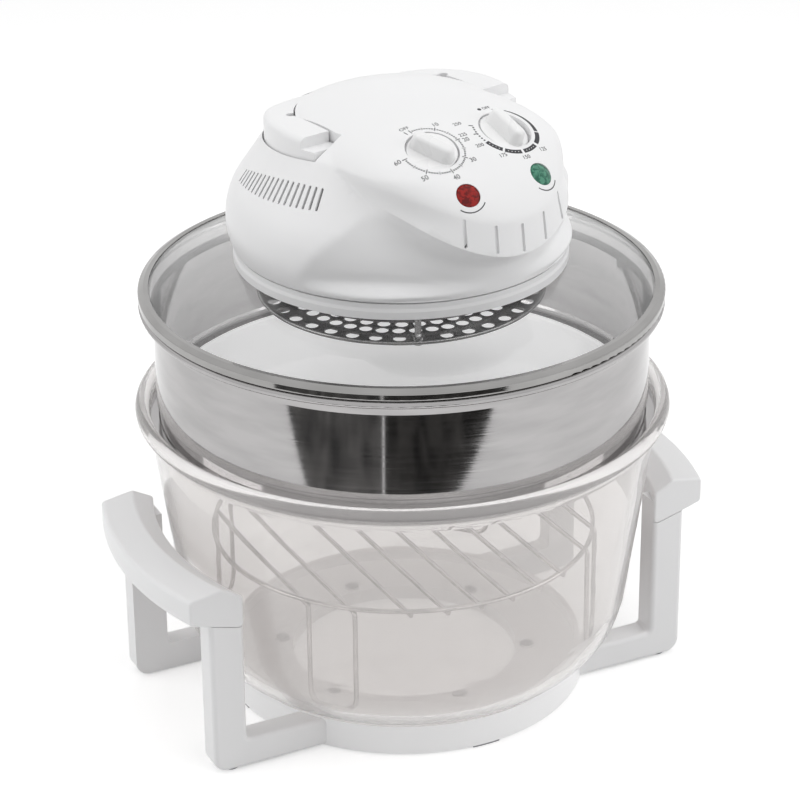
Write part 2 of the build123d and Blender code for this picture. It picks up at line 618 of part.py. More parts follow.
def panel_grooves():
    """Short upright grooves in the brow's face."""
    tools = []
    lean = math.degrees(math.atan(FACE_SLOPE))
    for x, low, high in GROOVES:
        slot = extrude(SlotOverall(high - low, GROOVE_WIDTH, rotation=90), GROOVE_DEPTH, both=True)
        mid = (low + high) / 2
        for side in (-1, 1) if x else (1,):
            off = math.degrees(math.asin(x / FACE_R))
            near = min((shell_point(off, level) for level in SECTION_LEVELS), key=lambda p: abs(p[1] - mid))
            place = Rot(0, 0, side * off) * Pos(0, -near[0], mid) * Rot(-lean, 0, 0)
            tools.append(place * Rot(90, 0, 0) * slot)
    return tools


def top_shell():
    """White moulded cover of the head, with its dishes, slots, holes and bail recess."""
    shell = shell_blank()
    form = shell_form(0.3)
    backing = form & bail_pocket(BAIL_GAP + SHELL_WALL)
    extras = [backing]
    for side in (-1, 1):
        boss = knob_place(side) * Cylinder(DISH_R + 2.4, UNIT_FACE, align=(Align.CENTER, Align.CENTER, Align.MAX))
        extras.append(form & (boss + knob_place(side) * Cylinder(DISH_R + 2.4, 2.0)))
    for angle in SHELL_SCREW_ANGLES:
        post = disc(3.6, FLOOR_Z[1], 316.0, at=(SHELL_SCREW_R_AT, 0))
        rib = block((SHELL_SCREW_R_AT, 120.0), (-1.2, 1.2), (SHELL_BOTTOM + 0.5, 316.0))
        extras += [Rot(0, 0, angle) * post, form & Rot(0, 0, angle) * rib]
    shell = shell.fuse(*extras)
    cuts = [bail_pocket(BAIL_GAP)]
    up = (Align.CENTER, Align.CENTER, Align.MIN)
    for side in (-1, 1):
        cuts.append(knob_place(side) * Pos(0, 0, -DISH_DEPTH) * Cylinder(DISH_R, 12, align=up))
        cuts.append(knob_place(side) * Cylinder(SPINDLE_HOLE_R, 30))
        cuts.append(lens_place(side) * Pos(0, 0, -1.4) * Cylinder(LENS_R + 0.1, 8, align=up))
        cuts.append(lens_place(side) * Cylinder(LENS_R - 1.0, 30))
        cuts.append(Pos(side * (PLATEAU_HALF_X - 3), PIVOT_Y, PIVOT_Z) * Rot(0, 90, 0) * Cylinder(PIN_R, 12))
    cuts.append(disc(PLUNGER_R + 0.1, 340, 380, at=(PLUNGER_X, PLUNGER_Y)))
    cuts.append(gland_place() * Cylinder(GLAND_R, 30))
    for angle in SHELL_SCREW_ANGLES:
        cuts.append(Rot(0, 0, angle) * disc(1.6, FLOOR_Z[1] - 1, 308.0, at=(SHELL_SCREW_R_AT, 0)))
    cuts += panel_grooves() + vent_slots()
    return shell.cut(*cuts)


def gland_place():
    """Where the mains lead leaves, at the back of the head, local Z pointing out."""
    return Pos(0, plain_radius(GLAND_Z), GLAND_Z) * Rot(-90, 0, 0)


def bail_handle():
    """Carrying bail: two arms joined behind the dome, level with it when folded down."""
    column = bail_column(0.0, ahead=3.0)
    low = 340.0
    front, rear = BAIL_TOP[0], BAIL_TOP[-1]
    side_view = Spline(*BAIL_TOP) + Polyline(rear, (rear[0], low), (front[0], low), front)
    below_top = extrude(make_face(Plane.YZ * side_view), 100, both=True)
    body = column & above_recess(BAIL_GAP) & below_top
    body = fillet([e for e in body.edges() if outer_top_edge(e)], BAIL_ROUNDING)
    barrel = pivot_cylinder(BAIL_END_R)
    behind_pins = block((-120, 120), (PIVOT_Y, 120), (300, 400))
    under_pins = column & barrel & block((-120, 120), (-60, 60), (300, PIVOT_Z + 4))
    body = (body & behind_pins) + (body & barrel) + under_pins
    for side in (-1, 1):
        body = body - disc(3.2, low, 400, at=(side * CORNER_HOLE[0], CORNER_HOLE[1]))
        body = body - Pos(side * (PLATEAU_HALF_X + 4), PIVOT_Y, PIVOT_Z) * Rot(0, 90, 0) * Cylinder(
            PIN_R + RUNNING, 16)
    return body


def outer_top_edge(edge):
    """Whether an edge of the unrounded bail runs along its top on the outside."""
    at = edge @ 0.5
    out = math.hypot(at.X, at.Y - BAIL_CENTRE_Y)
    upright = abs((edge % 0.5).Z) > 0.6
    return at.Z > 368 and out > BAIL_R - 14 and at.Y > PIVOT_Y - 8 and edge.length > 8 and not upright


def handle_pins():
    """Steel pins through the plateau's sides that the bail turns on."""
    pins = []
    for side in (-1, 1):
        pin = Rot(0, 90, 0) * Cylinder(PIN_R, 14)
        head = Pos(-side * 7.5, 0, 0) * Rot(0, 90, 0) * Cylinder(PIN_R + 1.5, 1.6)
        pins.append(Pos(side * (PLATEAU_HALF_X + 2.6), PIVOT_Y, PIVOT_Z) * (pin + head))
    return Compound(children=pins)


# ================================================================ controls
def control_knob(side):
    """Round knob sunk in its dish, with a broad raised grip across it."""
    low, high = KNOB_DISC
    base = Pos(0, 0, low) * Cylinder(KNOB_R, high - low, align=(Align.CENTER, Align.CENTER, Align.MIN))
    foot = Pos(0, 0, low + 0.2) * SlotOverall(2 * KNOB_R - 0.6, GRIP_FOOT_WIDTH)
    crest = Pos(0, 0, GRIP_TOP) * SlotOverall(2 * KNOB_R - 5.0, GRIP_TOP_WIDTH)
    grip = loft([foot, crest])
    grip = fillet(grip.faces().sort_by(Axis.Z)[-1].edges(), 2.4)
    bore = Pos(0, 0, low - 1) * Cylinder(SPINDLE_R, 6.0, align=(Align.CENTER, Align.CENTER, Align.MIN))
    return knob_place(side) * Rot(0, 0, KNOB_REST[side]) * (base + grip - bore)


def spindle(side):
    """Control spindle, from inside its unit up into the knob."""
    low, high = -UNIT_FACE - 12.0, -DISH_DEPTH + 5.5
    return knob_place(side) * Pos(0, 0, low) * Cylinder(
        SPINDLE_R, high - low, align=(Align.CENTER, Align.CENTER, Align.MIN))


def unit_bore():
    return Pos(0, 0, -UNIT_FACE) * Cylinder(SPINDLE_R + RUNNING, 25)


def timer_unit():
    """Clockwork timer: a drum with a mounting flange behind the panel."""
    top = (Align.CENTER, Align.CENTER, Align.MAX)
    flange = Pos(0, 0, -UNIT_FACE) * Box(38, 14, 1.4, align=top)
    drum = Pos(0, 0, -UNIT_FACE - 1.4) * Cylinder(17, 24, align=top)
    return knob_place(-1) * (flange + drum - unit_bore())


def timer_bell():
    """Bell cup under the timer."""
    line = [(0.0, 0.0), (9.0, -0.4), (12.0, -2.0), (13.0, -6.5)]
    outline = [(max(r, 0.0), z) for r, z in sheet_outline(line, 1.0)]
    return knob_place(-1) * Pos(0, 0, -UNIT_FACE - 26.0) * revolved(*outline)


def thermostat_unit():
    """Rotary thermostat: a square body with a mounting flange behind the panel."""
    top = (Align.CENTER, Align.CENTER, Align.MAX)
    flange = Pos(0, 0, -UNIT_FACE) * Box(38, 14, 1.4, align=top)
    body = Pos(0, 0, -UNIT_FACE - 1.4) * Box(30, 30, 20, align=top)
    return knob_place(1) * (flange + body - unit_bore())


def indicator_lens(side):
    """Round jewel lens with a collar that sits in the panel."""
    outline = ((0, -5.0), (LENS_R - 1.1, -5.0), (LENS_R - 1.1, -1.4), (LENS_R, -1.4), (LENS_R, 0.9),
               (LENS_R - 1.0, 1.5), (LENS_R - 2.6, 2.0), (2.4, 2.3), (0, 2.4))
    return lens_place(side) * revolved(*outline)


def neon_lamps():
    """Small neon tubes behind the two lenses."""
    tubes = []
    for side in (-1, 1):
        tube = Cylinder(2.6, 12, align=(Align.CENTER, Align.CENTER, Align.MAX))
        tubes.append(lens_place(side) * Pos(0, 0, -5.6) * tube)
    return Compound(children=tubes)


# ================================================================ inside the head
def heat_shield():
    """Steel disc under the hole in the lid glass."""
    plate = disc(LID_HOLE_R + 4.0, 281.0, 281.8, hole=8.0)
    for hole in strut_holes(2.05, 270, 290):
        plate = plate - hole
    return plate


def reflector_pan():
    """Polished dish over the lamp."""
    line = [(14.0, 280.5), (58.0, 280.5), (66.0, 278.0), (73.0, 272.0), (76.0, 272.0)]
    return revolved(*sheet_outline(line, 0.8))


def halogen_lamp():
    """Halogen tube bent into a ring."""
    section = Plane.XZ * Pos(LAMP_R, LAMP_Z) * Circle(LAMP_TUBE_R)
    ring = revolve(section, Axis.Z, revolution_arc=360 - LAMP_OPEN)
    return Rot(0, 0, 90 + LAMP_OPEN / 2) * ring


def lamp_end_caps():
    """Ceramic blocks on the ends of the lamp, hung from the reflector."""
    caps = []
    for side in (-1, 1):
        cap = block((LAMP_R - 5.6, LAMP_R + 5.6), (-4.6, 4.6), (LAMP_Z - 5.6, 280.1))
        caps.append(Rot(0, 0, 90 + side * (LAMP_OPEN / 2 - 6.1)) * cap)
    return Compound(children=caps)


def lamp_clips():
    """Wire-thin steel clips that hold the lamp up against the reflector."""
    clips = []
    for angle in (-90, 0, 180):
        hoop = disc(LAMP_TUBE_R + 1.1, -3, 3, hole=LAMP_TUBE_R + 0.35) + block((-0.6, 0.6), (5.2, 9.6), (-3, 3))
        clips.append(Rot(0, 0, angle) * Pos(LAMP_R, 0, LAMP_Z) * Rot(90, 0, 0) * hoop)
    return Compound(children=clips)


def guard_plate():
    """Perforated plate under the lamp and fan, with a raised flange and a rolled rim."""
    low = GUARD_Z
    inner = Circle(GUARD_STEP_R)
    for radius, count in GUARD_ROWS:
        inner -= PolarLocations(radius, count) * Circle(GUARD_HOLE_R)
    flange = Circle(GUARD_RIM_R - 1.4) - Circle(GUARD_STEP_R - GUARD_SHEET)
    count = 36
    for i in range(count):
        angle = i * 360 / count + 2.0
        near_strut = any(abs((angle - a + 180) % 360 - 180) < 5.5 for a in STRUT_ANGLES)
        if not near_strut:
            flange -= Rot(0, 0, angle) * Pos(80.3, 0) * Circle(GUARD_HOLE_R)
    for angle in STRUT_ANGLES:
        flange -= Pos(*strut_at(angle)) * Circle(2.05)
    plate = Pos(0, 0, low) * extrude(inner, GUARD_SHEET)
    raised = Pos(0, 0, low + 1.4) * extrude(flange, GUARD_SHEET)
    step = disc(GUARD_STEP_R, low, low + 1.4 + GUARD_SHEET, hole=GUARD_STEP_R - GUARD_SHEET)
    rim = torus(GUARD_RIM_R - 1.3, 1.3, low + 1.75)
    return plate + step + raised + rim


def guard_struts():
    """Long bolts that hang the guard plate under the head."""
    bolts = []
    for angle in STRUT_ANGLES:
        x, y = strut_at(angle)
        bolt = disc(2.0, GUARD_Z + 1.4, FLOOR_Z[1] + 3.5, at=(x, y))
        head = disc(3.6, GUARD_Z - 1.0, GUARD_Z + 1.4, at=(x, y))
        collar = disc(3.6, GUARD_Z + 1.4 + GUARD_SHEET, GUARD_Z + 4.6, at=(x, y), hole=1.0)
        bolts.append(bolt + head + collar)
    return Compound(children=bolts)


def nut(across, height, low, hole, at=(0.0, 0.0)):
    """Hexagon nut standing at a height."""
    body = extrude(RegularPolygon(across / 2, 6, major_radius=False) - Circle(hole), height)
    return Pos(at[0], at[1], low) * body


def guard_nuts():
    return Compound(children=[nut(7.0, 2.6, FLOOR_Z[1], 2.0, at=strut_at(a)) for a in STRUT_ANGLES])


def convection_fan():
    """Radial fan under the reflector: a hub, a disc and upright blades."""
    hub = disc(7.0, 269.0, 279.0, hole=SHAFT_R)
    plate = disc(37.0, 275.6, 276.4, hole=SHAFT_R)
    blades = [Rot(0, 0, i * 45.0) * block((6.5, 36.5), (-0.5, 0.5), (267.5, 276.0)) for i in range(8)]
    return joined([hub, plate] + blades)


def fan_nut():
    return nut(8.0, 3.4, 265.6, SHAFT_R)


def motor_shaft():
    return disc(SHAFT_R, SHAFT_Z[0], SHAFT_Z[1])


def motor():
    """Shaded-pole motor: a laminated frame with a coil and a bearing housing at each end."""
    frame = block((-27, 27), (-22, 22), (304, 318))
    frame = fillet(frame.edges().filter_by(Axis.Z), 3.0)
    coil = block((-38, -24), (-15, 15), (301, 321))
    coil = fillet(coil.edges().filter_by(Axis.Y), 4.0)
    ends = disc(9.0, 299.0, 323.0)
    return frame + coil + ends - disc(SHAFT_R + RUNNING, 290, 330)


def motor_bracket():
    """Bent strap that carries the motor above the floor of the lower housing."""
    plate = block((-34, 34), (-9, 9), (297.6, 299.0)) - disc(6.0, 290, 305)
    parts = [plate]
    for side in (-1, 1):
        upright = sorted((side * 34, side * 32.6))
        foot = sorted((side * 34, side * 46))
        parts.append(block(upright, (-9, 9), (FLOOR_Z[1], 299.0)))
        parts.append(block(foot, (-9, 9), (FLOOR_Z[1], FLOOR_Z[1] + 1.4)))
    return joined(parts)


def cooling_fan():
    """Fan on the motor's upper end that cools the inside of the head."""
    hub = disc(7.0, 330.0, 341.0, hole=SHAFT_R)
    blades = [Rot(0, 0, i * 60.0) * Pos(22, 0, 335.5) * Rot(28, 0, 0) * Box(31, 15, 1.2) for i in range(6)]
    return joined([hub] + blades) - disc(SHAFT_R, 320, 350)


def safety_switch():
    """Microswitch under the bail that cuts the power when the bail is lifted."""
    body = Pos(PLUNGER_X, PLUNGER_Y, 340.5) * Box(8.5, 20, 9)
    well = disc(PLUNGER_R + 0.1, 341.0, 346.0, at=(PLUNGER_X, PLUNGER_Y))
    return body - well


def switch_plunger():
    top = PLUNGER_TOP
    stem = disc(PLUNGER_R, 341.2, top, at=(PLUNGER_X, PLUNGER_Y))
    return fillet(stem.faces().sort_by(Axis.Z)[-1].edges(), 0.8)


def terminal_block():
    body = block((-18, 18), (52, 64), (FLOOR_Z[1], FLOOR_Z[1] + 10))
    for i in range(4):
        body = body - Pos(-13.5 + 9 * i, 58, FLOOR_Z[1] + 10) * Cylinder(2.2, 6)
    return body


def thermal_fuse():
    """Cylindrical cut-out clipped to the floor of the lower housing."""
    link = Pos(48, 30, FLOOR_Z[1] + 4.6) * Rot(0, 90, 0) * Cylinder(3.0, 18)
    clip = block((44, 52), (26.6, 33.4), (FLOOR_Z[1], FLOOR_Z[1] + 2.2))
    return link + clip


def thermostat_bulb():
    """Sensing bulb of the thermostat, beside the lamp."""
    bulb = Pos(0, -63.2, 270.5) * Rot(0, 90, 0) * Cylinder(2.4, 34)
    stem = disc(1.5, 270.5, 277.6, at=(12, -63.2))
    return bulb + stem


def shell_screws():
    parts = []
    for angle in SHELL_SCREW_ANGLES:
        x, y = (SHELL_SCREW_R_AT * f(math.radians(angle)) for f in (math.cos, math.sin))
        parts.append(Pos(x, y, FLOOR_Z[0]) * screw(1.5, 15, 3.0, 2.0))
    return Compound(children=parts)


def cord_gland():
    """Bushing where the mains lead leaves the back of the head."""
    up = (Align.CENTER, Align.CENTER, Align.MIN)
    barrel = Pos(0, 0, -8) * Cylinder(GLAND_R, 11.5, align=up)
    collar = Pos(0, 0, 0.9) * Cylinder(GLAND_R + 2.0, 2.6, align=up)
    bore = Pos(0, 0, -9) * Cylinder(3.6, 14, align=up)
    return gland_place() * (barrel + collar - bore)


# ================================================================ assembly
def base_parts():
    parts = {"base_ring": base_ring(), "leg_screws": leg_screws(), "handle_screws": handle_screws(),
             "rubber_feet": rubber_feet(), "bowl_pads": bowl_pads(),
             "left_handle": side_handle(-1), "right_handle": side_handle(1)}
    for sx, sy, name in four_corners():
        parts[name] = leg(sx, sy)
    return parts


def vessel_parts():
    return {"glass_bowl": glass_bowl(), "wire_rack": wire_rack(),
            "extension_ring": extension_ring(), "round_tray": round_tray()}


def lid_parts():
    """Everything that lifts off with the lid, built facing the front."""
    return {
        "lid_glass": lid_glass(), "lid_rim_band": lid_rim_band(), "head_gasket": head_gasket(),
        "lower_housing": lower_housing(), "heat_shield": heat_shield(), "reflector_pan": reflector_pan(),
        "halogen_lamp": halogen_lamp(), "lamp_end_caps": lamp_end_caps(), "lamp_clips": lamp_clips(),
        "guard_plate": guard_plate(), "guard_struts": guard_struts(), "guard_nuts": guard_nuts(),
        "convection_fan": convection_fan(), "fan_nut": fan_nut(), "motor_shaft": motor_shaft(),
        "motor": motor(), "motor_bracket": motor_bracket(), "cooling_fan": cooling_fan(),
        "timer_unit": timer_unit(), "timer_spindle": spindle(-1), "time_knob": control_knob(-1),
        "timer_bell": timer_bell(), "thermostat_unit": thermostat_unit(),
        "thermostat_spindle": spindle(1), "temp_knob": control_knob(1),
        "thermostat_bulb": thermostat_bulb(), "power_lens": indicator_lens(-1),
        "heat_lens": indicator_lens(1), "neon_lamps": neon_lamps(), "top_shell": top_shell(),
        "bail_handle": bail_handle(), "handle_pins": handle_pins(), "safety_switch": safety_switch(),
        "switch_plunger": switch_plunger(), "terminal_block": terminal_block(),
        "thermal_fuse": thermal_fuse(), "shell_screws": shell_screws(), "cord_gland": cord_gland(),
    }


def main():
    os.makedirs("parts", exist_ok=True)
    nodes = {**base_parts(), **vessel_parts()}
    for name, part in lid_parts().items():
        nodes[name] = Rot(0, 0, HEAD_YAW) * part
    for name, part in nodes.items():
        solids = part.solids()
        shape = solids[0] if len(solids) == 1 else Compound(children=list(solids))
        export_step(shape, f"parts/{name}.step")


if __name__ == "__main__":
    main()
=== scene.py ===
import json
import math

import bpy
from mathutils import Matrix, Vector
from mathutils.bvhtree import BVHTree


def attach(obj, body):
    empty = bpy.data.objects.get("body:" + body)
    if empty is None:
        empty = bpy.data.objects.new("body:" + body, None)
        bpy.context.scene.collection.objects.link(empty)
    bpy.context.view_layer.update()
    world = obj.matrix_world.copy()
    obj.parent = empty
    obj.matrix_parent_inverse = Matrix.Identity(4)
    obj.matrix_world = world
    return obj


# Halogen oven: looks only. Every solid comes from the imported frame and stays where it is.
# Lengths are metres and angles degrees, in the same frame as the CAD.

# ---------------------------------------------------------------- camera
CAMERA_AT = Vector((-0.7133, -1.4591, 0.9721))
CAMERA_AZIMUTH, CAMERA_ELEVATION, CAMERA_ROLL = -26.0, 25.817, -0.516
SENSOR_WIDTH = 36.0
FRAME_WIDTH_PX, FOCAL_PX = 800.0, 2912.0

# ---------------------------------------------------------------- the head's panel
HEAD_YAW = 11.0                            # the lid sits turned on the ring
KNOB_X = {-1: 0.0279, 1: 0.0247}           # the left dish sits a little further out
KNOB_Y, KNOB_Z = -0.0669, 0.3769
KNOB_LEAN, KNOB_SPLAY = 24.0, 8.0
LENS_X, LENS_Y, LENS_Z = 0.0264, -0.0976, 0.3590
LENS_LEAN, LENS_SPLAY = 43.0, 9.0
PROBE = 0.02                               # height from which marks are dropped on the panel
INK_SINK, INK_RISE = -0.00004, 0.00008     # bottom and top of a printed mark, off the panel
SPECK_LIFT = 0.00004                       # white specks lie this much above the black blocks
FONT_SIZE_PER_HEIGHT = 1.42                # font size that gives digits one unit high
DOT_ROWS = 6                               # points along each half of a round dot

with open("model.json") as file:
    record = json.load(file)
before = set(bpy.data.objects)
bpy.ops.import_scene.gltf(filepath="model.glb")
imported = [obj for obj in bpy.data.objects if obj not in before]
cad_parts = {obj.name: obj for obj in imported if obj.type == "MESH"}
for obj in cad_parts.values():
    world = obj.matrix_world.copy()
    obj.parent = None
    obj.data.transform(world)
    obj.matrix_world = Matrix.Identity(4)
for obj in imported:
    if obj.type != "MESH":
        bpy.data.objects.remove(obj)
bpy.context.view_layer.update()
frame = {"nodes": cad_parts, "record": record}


# ================================================================ shader helpers
class Finish:
    """A node material round one Principled shader, with procedural detail added by calls."""

    def __init__(self, name, colour, roughness, metallic=0.0, **sockets):
        self.material = bpy.data.materials.new(name)
        self.material.use_nodes = True
        self.tree = self.material.node_tree
        self.shader = self.tree.nodes["Principled BSDF"]
        self.shader.inputs["Base Color"].default_value = (*colour, 1.0)
        self.shader.inputs["Roughness"].default_value = roughness
        self.shader.inputs["Metallic"].default_value = metallic
        for socket, value in sockets.items():
            self.shader.inputs[socket.replace("_", " ")].default_value = value
        self.place = self.tree.nodes.new("ShaderNodeTexCoord").outputs["Object"]
        self.normal = None

    def noise(self, scale, detail=3.0, stretch=(1.0, 1.0, 1.0), distortion=0.0):
        """Noise over the object's own metres, squeezed along an axis where stretch is high."""
        mapping = self.tree.nodes.new("ShaderNodeMapping")
        mapping.inputs["Scale"].default_value = stretch
        noise = self.tree.nodes.new("ShaderNodeTexNoise")
        noise.inputs["Scale"].default_value = scale
        noise.inputs["Detail"].default_value = detail
        noise.inputs["Distortion"].default_value = distortion
        self.tree.links.new(self.place, mapping.inputs["Vector"])
        self.tree.links.new(mapping.outputs["Vector"], noise.inputs["Vector"])
        return noise.outputs["Fac"]

    def ranged(self, value, low, high, start=0.3, end=0.7):
        """A texture value spread from low to high."""
        spread = self.tree.nodes.new("ShaderNodeMapRange")
        for socket, number in (("From Min", start), ("From Max", end), ("To Min", low), ("To Max", high)):
            spread.inputs[socket].default_value = number
        self.tree.links.new(value, spread.inputs["Value"])
        return spread.outputs["Result"]

    def tint(self, value, low, high, start=0.35, end=0.65):
        """Base colour that drifts between two colours with a texture value."""
        ramp = self.tree.nodes.new("ShaderNodeValToRGB")
        ramp.color_ramp.elements[0].position, ramp.color_ramp.elements[1].position = start, end
        ramp.color_ramp.elements[0].color = (*low, 1.0)
        ramp.color_ramp.elements[1].color = (*high, 1.0)
        self.tree.links.new(value, ramp.inputs["Fac"])
        self.tree.links.new(ramp.outputs["Color"], self.shader.inputs["Base Color"])
        return self

    def rough(self, value, low, high):
        self.tree.links.new(self.ranged(value, low, high), self.shader.inputs["Roughness"])
        return self

    def bump(self, value, depth, strength=1.0):
        """Relief of that depth in metres. Calls add up."""
        bump = self.tree.nodes.new("ShaderNodeBump")
        bump.inputs["Strength"].default_value = strength
        bump.inputs["Distance"].default_value = depth
        self.tree.links.new(value, bump.inputs["Height"])
        if self.normal is not None:
            self.tree.links.new(self.normal, bump.inputs["Normal"])
        self.normal = bump.outputs["Normal"]
        self.tree.links.new(self.normal, self.shader.inputs["Normal"])
        return self

    def lets_light_through(self, colour):
        """Light and shade pass the glass as through a thin tinted film."""
        tree = self.tree
        film = tree.nodes.new("ShaderNodeBsdfTransparent")
        film.inputs["Color"].default_value = (*colour, 1.0)
        path = tree.nodes.new("ShaderNodeLightPath")
        indirect = tree.nodes.new("ShaderNodeMath")
        indirect.operation = "MAXIMUM"
        mix = tree.nodes.new("ShaderNodeMixShader")
        tree.links.new(path.outputs["Is Shadow Ray"], indirect.inputs[0])
        tree.links.new(path.outputs["Is Diffuse Ray"], indirect.inputs[1])
        tree.links.new(indirect.outputs["Value"], mix.inputs["Fac"])
        tree.links.new(self.shader.outputs["BSDF"], mix.inputs[1])
        tree.links.new(film.outputs["BSDF"], mix.inputs[2])
        tree.links.new(mix.outputs["Shader"], tree.nodes["Material Output"].inputs["Surface"])
        return self


# ================================================================ materials
def moulded(name, bright, dull, gloss, grain=0.00002, glow=0.0):
    """Injection-moulded plastic: faint cloudiness, uneven gloss and a fine skin. A glow above 0 is painted
    light: the plastic emits white light of its own.
    """
    finish = Finish(name, bright, sum(gloss) / 2, IOR=1.5, Emission_Strength=glow)
    finish.shader.inputs["Emission Color"].default_value = (1.0, 1.0, 1.0, 1.0)
    finish.tint(finish.noise(22.0, 1.0), dull, bright, 0.2, 0.8)
    finish.rough(finish.noise(60.0, 1.0), *gloss)
    finish.bump(finish.noise(1100.0, 1.0), grain, 0.15)
    finish.bump(finish.noise(45.0, 1.0), grain * 4, 0.12)
    return finish.material


def tinted_glass(name, colour, film, wave, haze=0.0):
    """Pressed glass with a slightly uneven surface, milky where haze is above 0."""
    finish = Finish(name, colour, 0.0, Transmission_Weight=1.0 - haze, IOR=1.47)
    finish.bump(finish.noise(14.0, 2.0, (1.0, 1.0, 1.6)), wave, 0.5)
    finish.lets_light_through(film)
    return finish.material


def rolled_steel(name, bright, dull, gloss, lines, depth):
    """Sheet metal with fine level polishing lines."""
    finish = Finish(name, bright, sum(gloss) / 2, 1.0)
    streaks = finish.noise(lines, 4.0, (0.02, 0.02, 1.0))
    finish.tint(finish.noise(70.0, 3.0, (0.3, 0.3, 1.5)), dull, bright)
    finish.rough(streaks, *gloss)
    finish.bump(streaks, depth, 0.4)
    return finish.material


def plain_metal(name, bright, dull, gloss, scale=400.0, depth=0.00003):
    finish = Finish(name, bright, sum(gloss) / 2, 1.0)
    finish.tint(finish.noise(scale / 6, 4.0), dull, bright)
    finish.rough(finish.noise(scale / 3, 4.0), *gloss)
    finish.bump(finish.noise(scale, 3.0), depth, 0.3)
    return finish.material


def soft_rubber(name, bright, dull):
    finish = Finish(name, bright, 0.6, IOR=1.45)
    finish.tint(finish.noise(90.0, 4.0), dull, bright)
    finish.rough(finish.noise(300.0, 3.0), 0.5, 0.7)
    finish.bump(finish.noise(2200.0, 3.0), 0.00004, 0.4)
    return finish.material


def jewel(name, colour, dark):
    """Transparent coloured lens with a moulded pattern under a clear skin."""
    finish = Finish(name, colour, 0.12, IOR=1.5, Specular_IOR_Level=0.2, Transmission_Weight=0.1,
                    Coat_Weight=0.15, Coat_Roughness=0.05)
    finish.tint(finish.noise(420.0, 2.0, distortion=0.6), dark, colour, 0.4, 0.62)
    finish.bump(finish.noise(700.0, 1.0), 0.0002, 0.35)
    return finish.material


def printed_ink(name, colour):
    finish = Finish(name, colour, 0.5)
    finish.tint(finish.noise(2500.0, 2.0), tuple(c * 0.8 for c in colour), colour)
    finish.rough(finish.noise(1500.0, 2.0), 0.42, 0.6)
    return finish.material


WHITE, OFF_WHITE = (0.87, 0.87, 0.875), (0.86, 0.86, 0.865)
FINISHES = {
    "white_plastic": moulded("white_plastic", WHITE, OFF_WHITE, (0.30, 0.32)),
    "knob_plastic": moulded("knob_plastic", (0.88, 0.88, 0.88), (0.86, 0.86, 0.86), (0.27, 0.29)),
    "smoky_glass": tinted_glass("smoky_glass", (0.885, 0.868, 0.860), (0.95, 0.94, 0.935), 0.0004, 0.16),
    "clear_glass": tinted_glass("clear_glass", (0.99, 0.99, 0.99), (0.99, 0.99, 0.99), 0.0002),
    "polished_steel": rolled_steel(
        "polished_steel", (0.43, 0.42, 0.42), (0.38, 0.372, 0.372), (0.05, 0.11), 900.0, 0.00002),
    "steel": plain_metal("steel", (0.72, 0.72, 0.72), (0.6, 0.6, 0.6), (0.18, 0.3)),
    "rack_wire": plain_metal("rack_wire", (0.66, 0.64, 0.63), (0.55, 0.54, 0.53), (0.1, 0.2)),
    "white_enamel": moulded("white_enamel", (0.86, 0.86, 0.87), (0.84, 0.84, 0.85), (0.3, 0.42)),
    "silicone": soft_rubber("silicone", (0.7, 0.7, 0.7), (0.62, 0.62, 0.62)),
    "rubber": soft_rubber("rubber", (0.3, 0.3, 0.31), (0.25, 0.25, 0.26)),
    "ceramic": soft_rubber("ceramic", (0.82, 0.8, 0.76), (0.74, 0.72, 0.68)),
    "motor_iron": plain_metal("motor_iron", (0.35, 0.35, 0.36), (0.25, 0.25, 0.26), (0.4, 0.6)),
    "grey_plastic": moulded("grey_plastic", (0.42, 0.42, 0.43), (0.38, 0.38, 0.39), (0.4, 0.55)),
    "red_lens": jewel("red_lens", (0.36, 0.012, 0.008), (0.14, 0.003, 0.003)),
    "green_lens": jewel("green_lens", (0.09, 0.30, 0.20), (0.025, 0.13, 0.085)),
}
NODE_FINISHES = {
    "lid_rim_band": rolled_steel(
        "rim_steel", (0.37, 0.365, 0.36), (0.31, 0.305, 0.30), (0.05, 0.10), 700.0, 0.00002),
    "guard_plate": plain_metal("guard_steel", (0.30, 0.295, 0.29), (0.2, 0.2, 0.2), (0.12, 0.22)),
    # Painted light: the base ring glows a little, to look lit where it sits in shade.
    "base_ring": moulded("base_plastic_painted_glow", WHITE, OFF_WHITE, (0.30, 0.32), glow=0.10),
    # Painted light: the tray glows strongly, to look lit though the head and ring shade it.
    "round_tray": moulded("tray_enamel_painted_glow", (0.93, 0.93, 0.935), (0.91, 0.91, 0.915), (0.3, 0.42), glow=0.30),
}
INK = printed_ink("black_ink", (0.035, 0.035, 0.04))
WHITE_INK = printed_ink("white_ink", (0.85, 0.85, 0.85))


def dress_frame():
    """Gives each CAD node the material of its slot, or one of its own."""
    slots = {part["node"]: part["material_slot"] for part in frame["record"]["subparts"]}
    for name, node in frame["nodes"].items():
        node.data.materials.clear()
        node.data.materials.append(NODE_FINISHES.get(name, FINISHES[slots[name]]))


# ================================================================ printed marks
def yawed():
    return Matrix.Rotation(math.radians(HEAD_YAW), 4, "Z")


def on_panel(side, x, y, z, lean, splay):
    """Plane on the front panel, left (-1) or right (1): local Z is the outward normal."""
    return (yawed() @ Matrix.Translation((side * x, y, z))
            @ Matrix.Rotation(math.radians(lean), 4, "X")
            @ Matrix.Rotation(math.radians(side * splay), 4, "Y"))


def knob_plane(side):
    return on_panel(side, KNOB_X[side], KNOB_Y, KNOB_Z, KNOB_LEAN, KNOB_SPLAY)


def lens_plane(side):
    return on_panel(side, LENS_X, LENS_Y, LENS_Z, LENS_LEAN, LENS_SPLAY)


def shell_tree():
    """The head shell's surface, to drop marks on."""
    mesh = frame["nodes"]["top_shell"].data
    corners = [v.co for v in mesh.vertices]
    return BVHTree.FromPolygons(corners, [p.vertices[:] for p in mesh.polygons])


